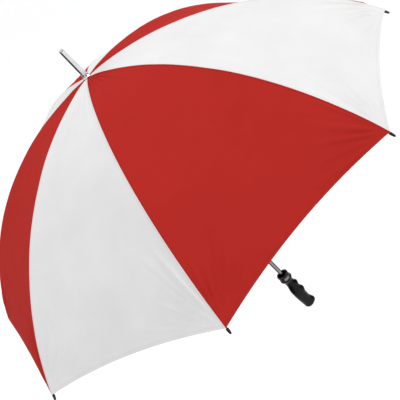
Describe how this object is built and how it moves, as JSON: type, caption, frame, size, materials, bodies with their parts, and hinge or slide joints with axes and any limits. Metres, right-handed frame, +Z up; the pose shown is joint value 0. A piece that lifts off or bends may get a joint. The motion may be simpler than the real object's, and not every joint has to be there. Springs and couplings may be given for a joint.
{
  "type": "golf umbrella",
  "caption": "Open golf umbrella with a red and white panelled canopy, folding ribs and stretchers, a sliding runner and a contoured black grip.",
  "frame": {"origin": "on the shaft's axis at the middle of the grip, where the hand holds it", "axes": "+Z up the shaft to the ferrule, -Y towards the middle of the front red panel, +X towards the finger side of the grip"},
  "size_m": [1.1428, 1.1428, 0.984],
  "materials": {
    "shaft_metal": "satin plated tube",
    "bright_metal": "polished",
    "fitting_metal": "satin",
    "black_plastic": "moulded",
    "rib_fibreglass": "pultruded, black",
    "stretcher_steel": "black enamel",
    "grip_rubber": "satin, soft touch",
    "canopy_cloth": "woven polyester, red and white panels by turns, sewn along the ribs",
    "rosette_cloth": "woven polyester"
  },
  "bodies": {
    "frame": {"shaft": "shaft_metal", "crown": "black_plastic", "crown_wire": "fitting_metal", "crown_rivet": "fitting_metal", "ferrule": "bright_metal", "top_cap": "bright_metal", "rosette": "rosette_cloth", "grip": "grip_rubber", "tip_cup": "black_plastic", "cup_collar": "fitting_metal", "grip_pin": "fitting_metal"},
    "runner_body": {"runner": "black_plastic"},
    "upper_catch_body": {"upper_catch": "fitting_metal"},
    "lower_catch_body": {"lower_catch": "fitting_metal"},
    "rib_body_1": {"rib_1": "rib_fibreglass", "rib_tip_1": "black_plastic", "stretcher_rivet_1": "fitting_metal", "canopy_gore_1": "canopy_cloth"},
    "stretcher_body_1": {"stretcher_1": "stretcher_steel"},
    "rib_body_2": {"rib_2": "rib_fibreglass", "rib_tip_2": "black_plastic", "stretcher_rivet_2": "fitting_metal", "canopy_gore_2": "canopy_cloth"},
    "stretcher_body_2": {"stretcher_2": "stretcher_steel"},
    "rib_body_3": {"rib_3": "rib_fibreglass", "rib_tip_3": "black_plastic", "stretcher_rivet_3": "fitting_metal", "canopy_gore_3": "canopy_cloth"},
    "stretcher_body_3": {"stretcher_3": "stretcher_steel"},
    "rib_body_4": {"rib_4": "rib_fibreglass", "rib_tip_4": "black_plastic", "stretcher_rivet_4": "fitting_metal", "canopy_gore_4": "canopy_cloth"},
    "stretcher_body_4": {"stretcher_4": "stretcher_steel"},
    "rib_body_5": {"rib_5": "rib_fibreglass", "rib_tip_5": "black_plastic", "stretcher_rivet_5": "fitting_metal", "canopy_gore_5": "canopy_cloth"},
    "stretcher_body_5": {"stretcher_5": "stretcher_steel"},
    "rib_body_6": {"rib_6": "rib_fibreglass", "rib_tip_6": "black_plastic", "stretcher_rivet_6": "fitting_metal", "canopy_gore_6": "canopy_cloth"},
    "stretcher_body_6": {"stretcher_6": "stretcher_steel"},
    "rib_body_7": {"rib_7": "rib_fibreglass", "rib_tip_7": "black_plastic", "stretcher_rivet_7": "fitting_metal", "canopy_gore_7": "canopy_cloth"},
    "stretcher_body_7": {"stretcher_7": "stretcher_steel"},
    "rib_body_8": {"rib_8": "rib_fibreglass", "rib_tip_8": "black_plastic", "stretcher_rivet_8": "fitting_metal", "canopy_gore_8": "canopy_cloth"},
    "stretcher_body_8": {"stretcher_8": "stretcher_steel"}
  },
  "joints": [
    {"name": "runner_slide", "type": "slide", "parent": "frame", "child": "runner_body", "axis": [0, 0, -1], "range_m": [0, 0.4523]},
    {"name": "rib_hinge_1", "type": "hinge", "parent": "frame", "child": "rib_body_1", "pos_m": [0.01247, 0.00517, 0.8225], "axis": [-0.3827, 0.9239, 0], "range_deg": [0, 60], "deforming": ["canopy_gore_1"]},
    {"name": "stretcher_hinge_1", "type": "hinge", "parent": "rib_body_1", "child": "stretcher_body_1", "pos_m": [0.29071, 0.12042, 0.75315], "axis": [-0.3827, 0.9239, 0], "range_deg": [-120, 0]},
    {"name": "rib_hinge_2", "type": "hinge", "parent": "frame", "child": "rib_body_2", "pos_m": [0.00517, 0.01247, 0.8225], "axis": [-0.9239, 0.3827, 0], "range_deg": [0, 60], "deforming": ["canopy_gore_2"]},
    {"name": "stretcher_hinge_2", "type": "hinge", "parent": "rib_body_2", "child": "stretcher_body_2", "pos_m": [0.12042, 0.29071, 0.75315], "axis": [-0.9239, 0.3827, 0], "range_deg": [-120, 0]},
    {"name": "rib_hinge_3", "type": "hinge", "parent": "frame", "child": "rib_body_3", "pos_m": [-0.00517, 0.01247, 0.8225], "axis": [-0.9239, -0.3827, 0], "range_deg": [0, 60], "deforming": ["canopy_gore_3"]},
    {"name": "stretcher_hinge_3", "type": "hinge", "parent": "rib_body_3", "child": "stretcher_body_3", "pos_m": [-0.12042, 0.29071, 0.75315], "axis": [-0.9239, -0.3827, 0], "range_deg": [-120, 0]},
    {"name": "rib_hinge_4", "type": "hinge", "parent": "frame", "child": "rib_body_4", "pos_m": [-0.01247, 0.00517, 0.8225], "axis": [-0.3827, -0.9239, 0], "range_deg": [0, 60], "deforming": ["canopy_gore_4"]},
    {"name": "stretcher_hinge_4", "type": "hinge", "parent": "rib_body_4", "child": "stretcher_body_4", "pos_m": [-0.29071, 0.12042, 0.75315], "axis": [-0.3827, -0.9239, 0], "range_deg": [-120, 0]},
    {"name": "rib_hinge_5", "type": "hinge", "parent": "frame", "child": "rib_body_5", "pos_m": [-0.01247, -0.00517, 0.8225], "axis": [0.3827, -0.9239, 0], "range_deg": [0, 60], "deforming": ["canopy_gore_5"]},
    {"name": "stretcher_hinge_5", "type": "hinge", "parent": "rib_body_5", "child": "stretcher_body_5", "pos_m": [-0.29071, -0.12042, 0.75315], "axis": [0.3827, -0.9239, 0], "range_deg": [-120, 0]},
    {"name": "rib_hinge_6", "type": "hinge", "parent": "frame", "child": "rib_body_6", "pos_m": [-0.00517, -0.01247, 0.8225], "axis": [0.9239, -0.3827, 0], "range_deg": [0, 60], "deforming": ["canopy_gore_6"]},
    {"name": "stretcher_hinge_6", "type": "hinge", "parent": "rib_body_6", "child": "stretcher_body_6", "pos_m": [-0.12042, -0.29071, 0.75315], "axis": [0.9239, -0.3827, 0], "range_deg": [-120, 0]},
    {"name": "rib_hinge_7", "type": "hinge", "parent": "frame", "child": "rib_body_7", "pos_m": [0.00517, -0.01247, 0.8225], "axis": [0.9239, 0.3827, 0], "range_deg": [0, 60], "deforming": ["canopy_gore_7"]},
    {"name": "stretcher_hinge_7", "type": "hinge", "parent": "rib_body_7", "child": "stretcher_body_7", "pos_m": [0.12042, -0.29071, 0.75315], "axis": [0.9239, 0.3827, 0], "range_deg": [-120, 0]},
    {"name": "rib_hinge_8", "type": "hinge", "parent": "frame", "child": "rib_body_8", "pos_m": [0.01247, -0.00517, 0.8225], "axis": [0.3827, 0.9239, 0], "range_deg": [0, 60], "deforming": ["canopy_gore_8"]},
    {"name": "stretcher_hinge_8", "type": "hinge", "parent": "rib_body_8", "child": "stretcher_body_8", "pos_m": [0.29071, -0.12042, 0.75315], "axis": [0.3827, 0.9239, 0], "range_deg": [-120, 0]},
    {"name": "upper_catch_press", "type": "hinge", "parent": "frame", "child": "upper_catch_body", "pos_m": [0, -0.004, 0.59931], "axis": [-1, 0, 0], "range_deg": [0, 6.9], "stiffness_Nm_per_rad": 0.15, "springref_deg": -3.44},
    {"name": "lower_catch_press", "type": "hinge", "parent": "frame", "child": "lower_catch_body", "pos_m": [0, -0.004, 0.20802], "axis": [1, 0, 0], "range_deg": [0, 6.9], "stiffness_Nm_per_rad": 0.15, "springref_deg": -3.44}
  ],
  "couplings": [
    {"joint": "rib_hinge_1", "follows": "runner_slide", "rad_per_m": 2.3152},
    {"joint": "stretcher_hinge_1", "follows": "runner_slide", "rad_per_m": -4.6304},
    {"joint": "rib_hinge_2", "follows": "runner_slide", "rad_per_m": 2.3152},
    {"joint": "stretcher_hinge_2", "follows": "runner_slide", "rad_per_m": -4.6304},
    {"joint": "rib_hinge_3", "follows": "runner_slide", "rad_per_m": 2.3152},
    {"joint": "stretcher_hinge_3", "follows": "runner_slide", "rad_per_m": -4.6304},
    {"joint": "rib_hinge_4", "follows": "runner_slide", "rad_per_m": 2.3152},
    {"joint": "stretcher_hinge_4", "follows": "runner_slide", "rad_per_m": -4.6304},
    {"joint": "rib_hinge_5", "follows": "runner_slide", "rad_per_m": 2.3152},
    {"joint": "stretcher_hinge_5", "follows": "runner_slide", "rad_per_m": -4.6304},
    {"joint": "rib_hinge_6", "follows": "runner_slide", "rad_per_m": 2.3152},
    {"joint": "stretcher_hinge_6", "follows": "runner_slide", "rad_per_m": -4.6304},
    {"joint": "rib_hinge_7", "follows": "runner_slide", "rad_per_m": 2.3152},
    {"joint": "stretcher_hinge_7", "follows": "runner_slide", "rad_per_m": -4.6304},
    {"joint": "rib_hinge_8", "follows": "runner_slide", "rad_per_m": 2.3152},
    {"joint": "stretcher_hinge_8", "follows": "runner_slide", "rad_per_m": -4.6304}
  ]
}
